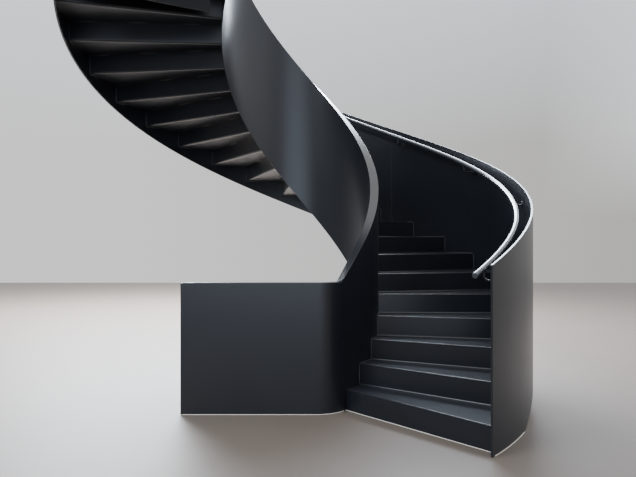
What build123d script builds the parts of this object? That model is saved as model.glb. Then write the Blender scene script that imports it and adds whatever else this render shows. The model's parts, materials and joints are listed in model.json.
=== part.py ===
"""Round steel staircase: folded steps welded between a thin outer guard plate and a double-skinned inner guard.

Everything is modelled about the stair's upright axis and moved at the end, so that the origin is the middle
of the base plate under the first step. +X runs to the right along the parapet, +Y away from it, +Z up.
"""
import os
from math import asin, cos, degrees, hypot, pi, radians, sin, sqrt, tan

from build123d import *

os.makedirs("parts", exist_ok=True)

# Flight: angles are in degrees, measured from +X towards +Y, and lengths in millimetres
riser = 176
riser_count = 21
first_angle = -50.5
step_angle = 12.45
rest_tread = 10
rest_extra_angle = 10.65
inner_radius = 752
outer_radius = 2033
skewed_risers = 4
first_skew_angle = 7.5

# Wider arc on which the outer guard opens out over the lowest steps
opening_angle = -24
opening_radius = 3085
opening_extra_rise = 55

# Steps
plate = 8
nosing_radius = 7
fold_radius = 12
weld_gap = 0.3
end_overlap = 60

# Guards
guard_rise = 1016
outer_thickness = 15
outer_depth = 1430
outer_start_lead = 1.8
outer_first_seam = -6.5
outer_seam_step = 32
outer_segments = 8
inner_thickness = 75
inner_skin = 5
inner_depth = 1370
inner_segments = 7
guard_end_lead = 0.5

# Parapet and the bend that leads it into the inner guard
parapet_height = 1040
parapet_length = 1071
parapet_setback = 790
bend_radius = 282
bend_join_angle = -40
bend_cover_angle = 40

# Handrail
rail_radius = 21.2
rail_wall = 2.6
rail_sides = 10
rail_bore_sides = 4
rail_stand_off = 111
rail_drop = 75
rail_end_angle = 206
rail_segments = 4
rail_cap = 12
rail_cap_chamfer = 6
lowest_bracket_angle = -48.4
second_bracket_angle = -3.8
bracket_step = 28.6
upper_brackets = 8
bracket_rod_radius = 7
bracket_rod_sides = 8
bracket_bend_radius = 30
bracket_drop = 85
rosette_radius = 30
rosette_sides = 12
rosette_thickness = 5

# Fixings
base_thickness = 12
base_margin = 25
anchor_spacing = 140
anchor_hole_radius = 9
flange_thickness = 12
flange_overlap = 200
flange_side_gap = 40
flange_bolts = 4
flange_bolt_spacing = 300
flange_bolt_drop = 110
flange_hole_radius = 11
lip_length = 180

# Worked out from the sizes above
tall = riser * (riser_count + 1)
reach = inner_thickness + end_overlap
bend_turn = 90 + bend_join_angle
axis_foot = Vector(0, 0, 0)


def polar(radius, angle, height=0.0):
    """The point at a radius and an angle about the stair's axis."""
    return Vector(radius * cos(radians(angle)), radius * sin(radians(angle)), height)


def riser_angle(number):
    """Angle of a riser's outer end. The resting tread moves all risers above it on."""
    extra = rest_extra_angle if number > rest_tread else 0
    return first_angle + (number - 1) * step_angle + extra


def slope_height(angle):
    """Height of the even slope that the guards follow: the nosings of the lower steps lie on it."""
    return riser * ((angle - first_angle) / step_angle + 1)


def opening_turn(angle):
    """Angle about the opening arc's centre of its point that lies at an angle about the stair's axis."""
    across = (1 - outer_radius / opening_radius) * sin(radians(angle - opening_angle))
    return angle - degrees(asin(across))


def spans(stops):
    """Pairs of neighbouring stops."""
    return list(zip(stops, stops[1:]))


class Arc:
    """An arc that the guards and the rail climb along. All arcs are level with each other at the opening angle."""

    def __init__(self, centre, guard_radius, pitch):
        self.centre = centre
        self.guard_radius = guard_radius
        self.pitch = pitch

    def height(self, turn):
        """Height of the slope at an angle about the arc's centre."""
        return slope_height(opening_angle) + self.pitch * (turn - opening_angle) / 360

    def leaves_floor(self, depth):
        """Angle at which the lower edge of a guard of some depth leaves the floor."""
        return opening_angle + (depth - guard_rise - slope_height(opening_angle)) * 360 / self.pitch

    def plane(self, turn):
        """The upright plane at an angle: its x is the radius and its y the height."""
        return Plane(origin=self.centre, x_dir=polar(1, turn), z_dir=polar(1, turn - 90))

    def helix(self, radius, height, start, end):
        """A helix along the arc from one angle to another."""
        place = Pos(self.centre.X, self.centre.Y, height) * Rot(0, 0, start)
        return place * Helix(self.pitch, self.pitch * (end - start) / 360, radius)

    def band(self, inner, outer, top_rise, depth, start, end, skin=0.0):
        """An upright band between two radii that climbs along the arc, hollow when it has a skin."""
        radius = (inner + outer) / 2
        height = self.height(start) + top_rise - depth / 2
        with BuildPart() as band:
            with BuildSketch(self.plane(start)):
                with Locations((radius, height)):
                    Rectangle(outer - inner, depth)
                    if skin:
                        Rectangle(outer - inner - 2 * skin, depth - 2 * skin, mode=Mode.SUBTRACT)
            sweep(path=self.helix(radius, height, start, end), is_frenet=True)
        return band.part


landing_angle = riser_angle(riser_count)
guard_end = landing_angle + guard_end_lead
outer_start = first_angle - outer_start_lead
opening_start = opening_turn(outer_start)
opening_climb = slope_height(opening_angle) - slope_height(outer_start) - opening_extra_rise
opening_centre = polar(opening_radius - outer_radius, opening_angle + 180)
opening_arc = Arc(opening_centre, opening_radius, opening_climb * 360 / (opening_angle - opening_start))
main_arc = Arc(axis_foot, outer_radius, riser * 360 / step_angle)


def nosing_line(number, back=0.0, shorter=0.0):
    """Inner and outer end of a riser's front line, moved back by a distance up the flight.

    The first few lines are turned a little, as on a balanced stair: their inner ends lie further down the flight.
    """
    skew = first_skew_angle * max(0, skewed_risers + 1 - number) / skewed_risers
    outer = polar(outer_radius, riser_angle(number))
    inner = polar(inner_radius, riser_angle(number) - skew)
    along = (outer - inner).normalized()
    onward = Vector(-along.Y, along.X, 0)
    return inner - along * (reach - shorter) + onward * back, outer + along * (reach - shorter) + onward * back


def middle(points):
    """The mean of some points."""
    return sum(points, Vector(0, 0, 0)) / len(points)


base_centre = middle([*nosing_line(1), *nosing_line(2)])
to_origin = Location((-base_centre.X, -base_centre.Y, 0))


def hand_over(piece, name):
    """Moves a finished piece from the stair's axis to the origin's frame and writes it."""
    piece.part.move(to_origin)
    piece.part.label = name
    export_step(piece.part, f"parts/{name}.step")


def strip(number, back_from, next_number, back_to):
    """Fills the plan area between two nosing lines."""
    front = nosing_line(number, back_from)
    rear = nosing_line(next_number, back_to)
    with BuildLine() as outline:
        Polyline(front[0], front[1], rear[1], rear[0], close=True)
    make_face(outline.edges())


def cut_at_floor():
    """Takes off what would reach below the floor."""
    with BuildSketch(Plane.XY) as floor:
        Circle(opening_radius)
    extrude(floor.sketch, amount=-tall, mode=Mode.SUBTRACT)


# Bend of the inner guard: a straight front, an arc, and a straight run that meets the inner circle
join_direction = polar(1, bend_join_angle + 90)
join_point = polar(inner_radius, bend_join_angle)
run_to_corner = (join_point.Y + parapet_setback) / join_direction.Y
bend_corner_x = join_point.X - join_direction.X * run_to_corner
bend_start_x = bend_corner_x - bend_radius * tan(radians(bend_turn / 2))
bend_centre = Vector(bend_start_x, bend_radius - parapet_setback, 0)


def bend_outline(face_inset, back_inset):
    """Fills the plan of the bend between two lines parallel to its face on the stair's side."""
    with BuildLine() as outline:
        ends = []
        for inset in (face_inset, back_inset):
            start = Vector(bend_start_x, inset - parapet_setback, 0)
            half = bend_centre + polar(bend_radius - inset, bend_turn / 2 - 90)
            full = bend_centre + polar(bend_radius - inset, bend_turn - 90)
            join = polar(inner_radius - inset, bend_join_angle)
            ThreePointArc(start, half, full)
            Line(full, join)
            ends.append((start, join))
        Line(ends[0][0], ends[1][0])
        Line(ends[0][1], ends[1][1])
    make_face(outline.edges())


def bend_solid(face_inset, back_inset, drop):
    """The bend between two parallel lines, as high as the parapet or the climbing guard, less a drop."""
    under_slope = main_arc.band(
        inner_radius - 2 * reach, 2 * inner_radius, guard_rise - drop, inner_depth,
        bend_join_angle - bend_cover_angle, bend_join_angle,
    )
    with BuildPart() as climbing:
        with BuildSketch(Plane.XY):
            bend_outline(face_inset, back_inset)
        extrude(amount=tall)
        add(under_slope, mode=Mode.INTERSECT)
    with BuildPart() as bend:
        with BuildSketch(Plane.XY):
            bend_outline(face_inset, back_inset)
        extrude(amount=parapet_height - drop)
        add(climbing.part)
    return bend.part


# Space between the guards, less the weld gap: every step fills it from side to side
with BuildPart() as flight_space:
    with BuildSketch(Plane.XY):
        Circle(outer_radius - weld_gap)
        with BuildLine():
            far_turn = opening_turn(outer_start - step_angle)
            edge = CenterArc(opening_centre, opening_radius - weld_gap, far_turn, opening_angle - far_turn)
            Polyline(edge @ 1, axis_foot, edge @ 0)
        make_face()
        Circle(inner_radius + weld_gap, mode=Mode.SUBTRACT)
    extrude(amount=tall)
    with BuildSketch(Plane.XY):
        bend_outline(-weld_gap, reach)
    extrude(amount=tall, mode=Mode.SUBTRACT)


def across_nosing(number):
    """The upright plane across a nosing line at its inner end, its x up the flight, and the line's length."""
    inner_end, outer_end = nosing_line(number)
    along = outer_end - inner_end
    return Plane(origin=inner_end, x_dir=(-along.Y, along.X, 0), z_dir=along), along.length


def round_nosing(tread, number):
    """Rounds a tread's upper front edge."""
    inner_end, outer_end = nosing_line(number)
    front = Axis(inner_end + Vector(0, 0, number * riser), outer_end - inner_end)
    edge = tread.edges().filter_by(front).sort_by_distance(front.position)[0]
    fillet(edge, nosing_radius)


# First riser: a plain upright plate
with BuildPart() as first_riser:
    with BuildSketch(Plane.XY):
        strip(1, 0, 1, plate)
    extrude(amount=riser - plate)
    add(flight_space.part, mode=Mode.INTERSECT)
hand_over(first_riser, "first_riser")

# Twenty steps, each one sheet: a tread folded up at its back into the riser that carries the next tread
for number in range(1, riser_count):
    top = number * riser
    fold_plane, fold_length = across_nosing(number + 1)
    with BuildPart() as step:
        with BuildSketch(Plane.XY.offset(top - plate)):
            strip(number, 0, number + 1, -fold_radius)
        extrude(amount=plate)
        with BuildSketch(fold_plane):
            with BuildLine():
                fold_start = (-fold_radius, top)
                RadiusArc(fold_start, (0, top + fold_radius), -fold_radius)
                Polyline(
                    (0, top + fold_radius),
                    (0, top + riser - plate),
                    (plate, top + riser - plate),
                    (plate, top + fold_radius),
                )
                RadiusArc((plate, top + fold_radius), (-fold_radius, top - plate), fold_radius + plate)
                Line((-fold_radius, top - plate), fold_start)
            make_face()
        extrude(amount=fold_length)
        round_nosing(step, number)
        add(flight_space.part, mode=Mode.INTERSECT)
    hand_over(step, f"step_{number:02d}")

# Landing lip: a last tread that lies on the upper floor
with BuildPart() as landing_lip:
    with BuildSketch(Plane.XY.offset(riser_count * riser - plate)):
        strip(riser_count, 0, riser_count, lip_length)
    extrude(amount=plate)
    round_nosing(landing_lip, riser_count)
    add(flight_space.part, mode=Mode.INTERSECT)
hand_over(landing_lip, "landing_lip")

# Base plate under the first tread, behind its riser
with BuildPart() as base_plate:
    with BuildSketch(Plane.XY):
        strip(1, plate + weld_gap, 2, -base_margin)
    extrude(amount=base_thickness)
    add(flight_space.part, mode=Mode.INTERSECT)
    with BuildSketch(Plane.XY):
        with Locations(base_centre):
            with GridLocations(anchor_spacing, anchor_spacing, 2, 2):
                Circle(anchor_hole_radius)
    extrude(amount=base_thickness, mode=Mode.SUBTRACT)
hand_over(base_plate, "base_plate")

# Landing flange: hangs below the lip, behind the last riser, and bolts to the upper floor's edge
flange_ends = nosing_line(riser_count, plate + weld_gap, reach + flange_side_gap)
flange_length = (flange_ends[1] - flange_ends[0]).length - 2 * flange_side_gap
flange_top = riser_count * riser - plate - weld_gap
flange_height = riser + flange_overlap
flange_face = Plane(
    origin=middle(flange_ends) + Vector(0, 0, flange_top - flange_height / 2),
    x_dir=polar(1, landing_angle + 180),
    z_dir=polar(1, landing_angle + 90),
)
with BuildPart() as landing_flange:
    with BuildSketch(flange_face):
        Rectangle(flange_length, flange_height)
        with Locations((0, flange_height / 2 - (flange_top - (riser_count - 1) * riser) - flange_bolt_drop)):
            with GridLocations(flange_bolt_spacing, 1, flange_bolts, 1):
                Circle(flange_hole_radius, mode=Mode.SUBTRACT)
    extrude(amount=flange_thickness)
hand_over(landing_flange, "landing_flange")

# Outer guard: one thin plate, butt-welded at upright seams. It opens out on the wider arc where the flight starts
outer_seams = [outer_first_seam + index * outer_seam_step for index in range(outer_segments - 1)]
opening_stops = [opening_start, opening_arc.leaves_floor(outer_depth), opening_angle]
with BuildPart() as outer_guard:
    for start, end in spans(opening_stops):
        add(
            opening_arc.band(
                opening_radius, opening_radius + outer_thickness, guard_rise, outer_depth, start, end
            )
        )
        if start == opening_start:
            cut_at_floor()
    add(
        main_arc.band(
            outer_radius, outer_radius + outer_thickness, guard_rise, outer_depth, opening_angle, outer_first_seam
        )
    )
hand_over(outer_guard, "outer_guard_1")
for index, (start, end) in enumerate(spans([*outer_seams, guard_end])):
    with BuildPart() as outer_guard:
        add(main_arc.band(outer_radius, outer_radius + outer_thickness, guard_rise, outer_depth, start, end))
    hand_over(outer_guard, f"outer_guard_{index + 2}")

# Inner guard: a hollow band about the well
inner_sweep = (guard_end - bend_join_angle) / inner_segments
inner_foot_end = main_arc.leaves_floor(inner_depth)
for index in range(inner_segments):
    start = bend_join_angle + index * inner_sweep
    stops = [start, start + inner_sweep]
    stands_on_floor = start < inner_foot_end
    if stands_on_floor:
        stops.insert(1, inner_foot_end)
    with BuildPart() as inner_guard:
        for begin, end in spans(stops):
            add(
                main_arc.band(
                    inner_radius - inner_thickness, inner_radius, guard_rise, inner_depth, begin, end, inner_skin
                )
            )
            if stands_on_floor and begin == start:
                cut_at_floor()
        if index == inner_segments - 1:
            with BuildSketch(main_arc.plane(guard_end)):
                with Locations((inner_radius - inner_thickness / 2, slope_height(guard_end) + guard_rise)):
                    Rectangle(inner_thickness, inner_depth, align=(Align.CENTER, Align.MAX))
            extrude(amount=-inner_skin)
    hand_over(inner_guard, f"inner_guard_{index + 1}")

# Bend that leads the parapet into the inner guard, hollow like both
bend_outside = bend_solid(0, inner_thickness, 0)
bend_inside = bend_solid(inner_skin, inner_thickness - inner_skin, inner_skin)
with BuildPart() as guard_bend:
    add(bend_outside)
    add(bend_inside, mode=Mode.SUBTRACT)
hand_over(guard_bend, "guard_bend")

# Front parapet: a hollow upright slab, open at its foot and where the bend joins it
with BuildPart() as front_parapet:
    with BuildSketch(Plane.XY):
        with Locations((bend_start_x, -parapet_setback)):
            Rectangle(parapet_length, inner_thickness, align=(Align.MAX, Align.MIN))
    extrude(amount=parapet_height)
    with BuildSketch(Plane.XY):
        with Locations((bend_start_x, inner_skin - parapet_setback)):
            Rectangle(parapet_length - inner_skin, inner_thickness - 2 * inner_skin, align=(Align.MAX, Align.MIN))
    extrude(amount=parapet_height - inner_skin, mode=Mode.SUBTRACT)
hand_over(front_parapet, "front_parapet")

# Handrail: a tube on the inside of the outer guard, capped at its lower end, flush with the guard's front edge
rail_rise = guard_rise - rail_drop
rail_path_radius = outer_radius - rail_stand_off
rail_stretch = hypot(1, main_arc.pitch / (2 * pi * rail_path_radius))


def rail_ring(arc, turn, radius, sides):
    """Outline of an upright cut through the rail, which is taller than it is wide because the rail slopes."""
    across = arc.guard_radius - rail_stand_off
    height = arc.height(turn) + rail_rise
    corners = []
    for side in range(sides):
        around = 2 * pi * side / sides
        corners.append((across + radius * cos(around), height + radius * rail_stretch * sin(around)))
    with BuildLine() as ring:
        Polyline(*corners, close=True)
    return ring.edges()


rail_start = opening_start + degrees(rail_cap / (opening_radius - rail_stand_off))
main_sweep = (rail_end_angle - opening_angle) / (rail_segments - 1)
rail_spans = [(opening_arc, rail_start, opening_angle)]
for index in range(rail_segments - 1):
    start = opening_angle + index * main_sweep
    rail_spans.append((main_arc, start, start + main_sweep))
for index, (arc, start, end) in enumerate(rail_spans):
    rail_path = arc.helix(arc.guard_radius - rail_stand_off, arc.height(start) + rail_rise, start, end)
    with BuildPart() as handrail:
        with BuildSketch(arc.plane(start)):
            make_face(rail_ring(arc, start, rail_radius, rail_sides))
            make_face(rail_ring(arc, start, rail_radius - rail_wall, rail_bore_sides), mode=Mode.SUBTRACT)
        sweep(path=rail_path, is_frenet=True)
        if index == 0:
            downward = (rail_path % 0) * -1
            with BuildSketch(arc.plane(start)):
                make_face(rail_ring(arc, start, rail_radius, rail_sides))
            extrude(amount=rail_cap, dir=downward)
            rim = handrail.faces().sort_by_distance(rail_path @ 0 + downward * rail_cap)[0].edges()
            chamfer(rim, rail_cap_chamfer)
    hand_over(handrail, f"handrail_{index + 1}")

# Handrail brackets: a rosette on the guard and a rod with two mitres that comes up under the rail
mitre = bracket_bend_radius * (2 - sqrt(2))
bracket_stations = [(opening_arc, opening_turn(lowest_bracket_angle))]
for index in range(upper_brackets):
    bracket_stations.append((main_arc, second_bracket_angle + index * bracket_step))
with BuildPart() as handrail_brackets:
    for arc, turn in bracket_stations:
        rail_height = arc.height(turn) + rail_rise
        arm_height = rail_height - bracket_drop
        under_rail = arc.guard_radius - rail_stand_off
        rosette_face = arc.guard_radius - weld_gap - rosette_thickness
        with BuildLine(arc.plane(turn)) as arm:
            Polyline(
                (rosette_face, arm_height),
                (under_rail + mitre, arm_height),
                (under_rail, arm_height + mitre),
                (under_rail, rail_height),
            )
        with BuildSketch(Plane(origin=arm.line @ 0, z_dir=arm.line % 0)):
            RegularPolygon(bracket_rod_radius, bracket_rod_sides)
        sweep(path=arm.line, transition=Transition.RIGHT)
        with BuildSketch(Plane(origin=arc.centre + polar(rosette_face, turn, arm_height), z_dir=polar(1, turn))):
            RegularPolygon(rosette_radius, rosette_sides)
        extrude(amount=rosette_thickness)
        along_rail = polar(under_rail * radians(1), turn + 90, arc.pitch / 360)
        with BuildSketch(Plane(origin=arc.centre + polar(under_rail, turn, rail_height), z_dir=along_rail)):
            RegularPolygon(rail_radius + weld_gap, rail_sides, major_radius=False)
        extrude(amount=rail_radius, both=True, mode=Mode.SUBTRACT)
hand_over(handrail_brackets, "handrail_brackets")

for name, value in (
    ("steps", riser_count - 1),
    ("climb to the landing", riser_count * riser),
    ("going at the middle of a step", (inner_radius + outer_radius) / 2 * radians(step_angle)),
    ("turn in degrees", landing_angle - first_angle),
    ("axis from the origin", to_origin.position),
):
    print(name, value)
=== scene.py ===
# %% [markdown]
# A round steel staircase.
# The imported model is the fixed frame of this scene: it holds every piece at its real size. This script
# gives the pieces their finish and rebuilds those whose curves need to look smoother than the frame's flat
# facets.

# %% Load the frame
import json
from math import asin, atan2, ceil, cos, degrees, hypot, radians, sin, tan

import bmesh
import bpy
from mathutils import Matrix, Vector


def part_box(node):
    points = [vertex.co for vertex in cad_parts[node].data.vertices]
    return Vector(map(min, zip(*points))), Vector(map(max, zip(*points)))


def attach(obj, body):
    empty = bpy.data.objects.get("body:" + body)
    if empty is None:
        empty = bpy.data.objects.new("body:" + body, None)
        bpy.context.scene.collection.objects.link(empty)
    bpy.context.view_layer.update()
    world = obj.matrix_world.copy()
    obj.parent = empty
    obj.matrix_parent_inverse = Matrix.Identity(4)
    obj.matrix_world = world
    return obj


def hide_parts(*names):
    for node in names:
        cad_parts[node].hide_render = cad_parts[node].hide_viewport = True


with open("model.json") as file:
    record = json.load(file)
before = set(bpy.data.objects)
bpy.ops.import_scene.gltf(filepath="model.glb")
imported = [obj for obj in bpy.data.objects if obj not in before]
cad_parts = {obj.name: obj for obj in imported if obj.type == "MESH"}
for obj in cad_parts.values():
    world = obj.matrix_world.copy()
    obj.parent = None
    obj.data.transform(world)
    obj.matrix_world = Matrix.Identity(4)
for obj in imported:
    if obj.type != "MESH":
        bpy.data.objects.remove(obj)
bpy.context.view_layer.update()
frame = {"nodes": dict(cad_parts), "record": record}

# %% [markdown]
# Every curve of the stair follows one rule: it turns about one upright axis and climbs a riser for each
# step angle. With the sizes below, in metres and degrees, a few small functions place every piece, so
# nothing is placed by eye.

# %% The sizes that rule the stair
RISER = 0.176
RISER_COUNT = 21
FIRST_ANGLE = -50.5
STEP_ANGLE = 12.45
REST_TREAD = 10
REST_EXTRA_ANGLE = 10.65
INNER_RADIUS = 0.752
OUTER_RADIUS = 2.033
SKEWED_RISERS = 4
FIRST_SKEW = 7.5
OPENING_ANGLE = -24.0
OPENING_RADIUS = 3.085
OPENING_EXTRA_RISE = 0.055
PLATE = 0.008
GUARD_RISE = 1.016
GUARD_OVERRUN = 0.5
OUTER_LEAD = 1.8
UP = Vector((0, 0, 1))


def polar(radius, angle, height=0.0):
    """The point at a radius and an angle in degrees about the stair's axis."""
    return Vector((radius * cos(radians(angle)), radius * sin(radians(angle)), height))


def riser_angle(number):
    """Angle of a riser's outer end: the resting tread moves all risers above it on."""
    extra = REST_EXTRA_ANGLE if number > REST_TREAD else 0
    return FIRST_ANGLE + (number - 1) * STEP_ANGLE + extra


def slope_height(angle):
    """Height of the even slope that both guards follow."""
    return RISER * ((angle - FIRST_ANGLE) / STEP_ANGLE + 1)


LANDING_ANGLE = riser_angle(RISER_COUNT)
GUARD_END = LANDING_ANGLE + GUARD_OVERRUN
OUTER_START = FIRST_ANGLE - OUTER_LEAD
print("landing at", LANDING_ANGLE, "degrees")

# %% [markdown]
# The outer guard isn't one circle: over the lowest steps it opens out on a wider arc, which touches the
# main circle at the opening angle and climbs a little less steeply. A small class holds what differs between
# the two arcs, so that a sweep, a rail or a weld can be told which one to follow.

# %% Two arcs
def opening_turn(angle):
    """Angle about the opening arc's centre of its point that lies at an angle about the axis."""
    across = (1 - OUTER_RADIUS / OPENING_RADIUS) * sin(radians(angle - OPENING_ANGLE))
    return angle - degrees(asin(across))


class Arc:
    """An arc that the outer guard and the rail climb along."""

    def __init__(self, centre, guard_radius, climb_per_degree):
        self.centre = centre
        self.guard_radius = guard_radius
        self.climb_per_degree = climb_per_degree

    def height(self, turn):
        """Height of the slope at an angle about the arc's centre."""
        return slope_height(OPENING_ANGLE) + self.climb_per_degree * (turn - OPENING_ANGLE)

    def point(self, radius, turn, height=0.0):
        """The point at a radius and an angle about the arc's centre."""
        return self.centre + polar(radius, turn, height)

    def along(self, radius, turn):
        """The way a line on the arc runs and climbs."""
        return polar(radius * radians(1), turn + 90, self.climb_per_degree).normalized()


OPENING_START = opening_turn(OUTER_START)
opening_climb = slope_height(OPENING_ANGLE) - slope_height(OUTER_START) - OPENING_EXTRA_RISE
opening_centre = polar(OPENING_RADIUS - OUTER_RADIUS, OPENING_ANGLE + 180)
opening_arc = Arc(opening_centre, OPENING_RADIUS, opening_climb / (OPENING_ANGLE - OPENING_START))
main_arc = Arc(Vector((0, 0, 0)), OUTER_RADIUS, RISER / STEP_ANGLE)
print("opening arc from", round(OPENING_START, 2), "degrees")

# %% [markdown]
# The functions above count from the stair's axis, but the frame counts from the middle of the base plate
# under the first tread. The frame itself says where the axis is: the upper part of the outer guard is a
# circle, so its leftmost and furthest points are one radius from it.

# %% Find the axis in the frame
OUTER_THICKNESS = 0.015
guard_boxes = [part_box(name) for name in frame["nodes"] if name.startswith("outer_guard")]
left = min(low.x for low, high in guard_boxes)
back = max(high.y for low, high in guard_boxes)
AXIS = Vector((left, back, 0)) + Vector((1, -1, 0)) * (OUTER_RADIUS + OUTER_THICKNESS)
print("axis", tuple(round(c, 4) for c in AXIS))

# %% [markdown]
# The camera stands at the photograph's viewpoint: level, 1.39 m above the floor, 5.39 m in front of the
# axis and 0.2 m to its right. The lens was worked out from the steps and from the curves of the guards.

# %% Camera
CAMERA_FROM_AXIS = Vector((0.199, -5.391, 1.389))
PICTURE_WIDTH = 636
FOCAL_PIXELS = 585
SENSOR_WIDTH = 36
FAR_CLIP = 60
camera_data = bpy.data.cameras.new("camera")
camera_data.sensor_width = SENSOR_WIDTH
camera_data.lens = SENSOR_WIDTH * FOCAL_PIXELS / PICTURE_WIDTH
camera_data.clip_end = FAR_CLIP
camera = bpy.data.objects.new("camera", camera_data)
camera.location = AXIS + CAMERA_FROM_AXIS
camera.rotation_euler = (radians(90), 0, 0)
bpy.context.scene.collection.objects.link(camera)
bpy.context.scene.camera = camera
print("lens", round(camera_data.lens, 2), "mm")


# %% [markdown]
# Materials are built from nodes. Writing the maths of a material as plain Python is easier to read than a
# list of links, so a small class wraps a socket and lets + - * add the Math nodes. A second one wraps the
# whole material, and its one node method makes every other node.

# %% Shader maths as expressions
class Amount:
    """A number that changes over a surface. Operators add Math nodes to its material."""

    def __init__(self, finish, socket):
        self.finish = finish
        self.socket = socket

    def math(self, operation, first, second, clamp=False):
        settings = {"operation": operation, "use_clamp": clamp}
        node = self.finish.node("ShaderNodeMath", settings, {0: first, 1: second})
        return Amount(self.finish, node.outputs[0])

    def __add__(self, other):
        return self.math("ADD", self, other)

    def __sub__(self, other):
        return self.math("SUBTRACT", self, other)

    def __rsub__(self, other):
        return self.math("SUBTRACT", other, self)

    def __mul__(self, other):
        return self.math("MULTIPLY", self, other)

    __radd__ = __add__
    __rmul__ = __mul__

    def clamped(self):
        return self.math("ADD", self, 0.0, clamp=True)

    def size(self):
        return self.math("ABSOLUTE", self, 0.0)


class Finish:
    """A material or world, its node tree and its shader."""

    def __init__(self, owner, shader_name):
        owner.use_nodes = True
        self.owner = owner
        self.tree = owner.node_tree
        self.shader = self.tree.nodes[shader_name]

    def node(self, kind, settings=None, sockets=None):
        """Adds a node, sets it up first, and then joins or sets its sockets."""
        node = self.tree.nodes.new(kind)
        for name, setting in (settings or {}).items():
            setattr(node, name, setting)
        for name, value in (sockets or {}).items():
            self.feed(node, name, value)
        return node

    def feed(self, node, name, value):
        socket = node.inputs[name]
        if isinstance(value, Amount):
            self.tree.links.new(value.socket, socket)
        elif isinstance(value, bpy.types.NodeSocket):
            self.tree.links.new(value, socket)
        else:
            socket.default_value = value

    def place(self):
        """The surface point in the frame's metres."""
        return self.node("ShaderNodeTexCoord").outputs["Object"]

    def parts(self, vector):
        """A vector's three numbers."""
        split = self.node("ShaderNodeSeparateXYZ", {}, {"Vector": vector})
        return [Amount(self, socket) for socket in split.outputs]

    def moved(self, place, offset, scale=(1, 1, 1)):
        """A point moved and then scaled, to centre a pattern or draw it out."""
        shifted = self.node("ShaderNodeVectorMath", {"operation": "ADD"}, {0: place, 1: offset})
        sockets = {0: shifted.outputs[0], 1: scale}
        return self.node("ShaderNodeVectorMath", {"operation": "MULTIPLY"}, sockets).outputs[0]

    def noise(self, place, scale, detail=3.0, roughness=0.5):
        """Cloudy noise about 0.5, with its scale in clouds per metre."""
        sockets = {"Vector": place, "Scale": scale, "Detail": detail, "Roughness": roughness}
        return Amount(self, self.node("ShaderNodeTexNoise", {}, sockets).outputs["Fac"])

    def ramp(self, value, low, high):
        """0 below low, 1 above high, and even in between."""
        sockets = {"Value": value, "From Min": low, "From Max": high}
        node = self.node("ShaderNodeMapRange", {"clamp": True}, sockets)
        return Amount(self, node.outputs["Result"])

    def mixed(self, share, first, second):
        """A colour between two colours."""
        sockets = {0: share, 6: first, 7: second}
        return self.node("ShaderNodeMix", {"data_type": "RGBA"}, sockets).outputs[2]

    def bump(self, height, distance):
        """The normal of a surface with fine relief."""
        sockets = {"Strength": 1.0, "Distance": distance, "Height": height}
        return self.node("ShaderNodeBump", {}, sockets).outputs[0]


# %% [markdown]
# The plates wear a dark blue-black satin coat. Up close it has a fine orange-peel, and over a metre its
# gloss drifts a little, which is what keeps a big dark sheet from looking like flat plastic. Wiping leaves
# faint upright streaks in the gloss. Treads are also walked on, so the middle of each is a little duller and
# dustier than its sides. Each pattern is a noise, and its gloss is the most that it changes the roughness by.

# %% The satin coat
DRIFT = {"scale": 1.1, "detail": 2.0}
CLOUDS = {"scale": 8.0, "detail": 4.0, "roughness": 0.6}
STREAKS = {"scale": 1.0, "detail": 3.0}
GRAIN = {"scale": 380.0, "detail": 2.0}
SCUFFS = {"scale": 24.0, "detail": 8.0, "roughness": 0.72}
DRIFT_GLOSS, CLOUD_GLOSS, STREAK_GLOSS, GRAIN_GLOSS = 0.09, 0.04, 0.03, 0.01
STREAK_STRETCH = (26, 26, 1.6)
DARK_TINT, LIGHT_TINT = 0.80, 1.22
ORANGE_PEEL = 0.00005
FINE_PEEL = 0.00001
CLOUD_RELIEF = 0.6
WALK_RADIUS = 1.45
WALK_HALF_WIDTH = 0.42
WALK_CORE = 0.3
WEAR_AT_SIDES = 0.4
SCUFF_RANGE = (0.44, 0.80)
DUST_TINT, DUST_LIFT, WORN_GLOSS = 1.3, 0.005, 0.06


def tinted(colour, factor, lift=0.0):
    """A colour made lighter or darker and greyer, as a socket takes it."""
    return (*(channel * factor + lift for channel in colour), 1)


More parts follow.
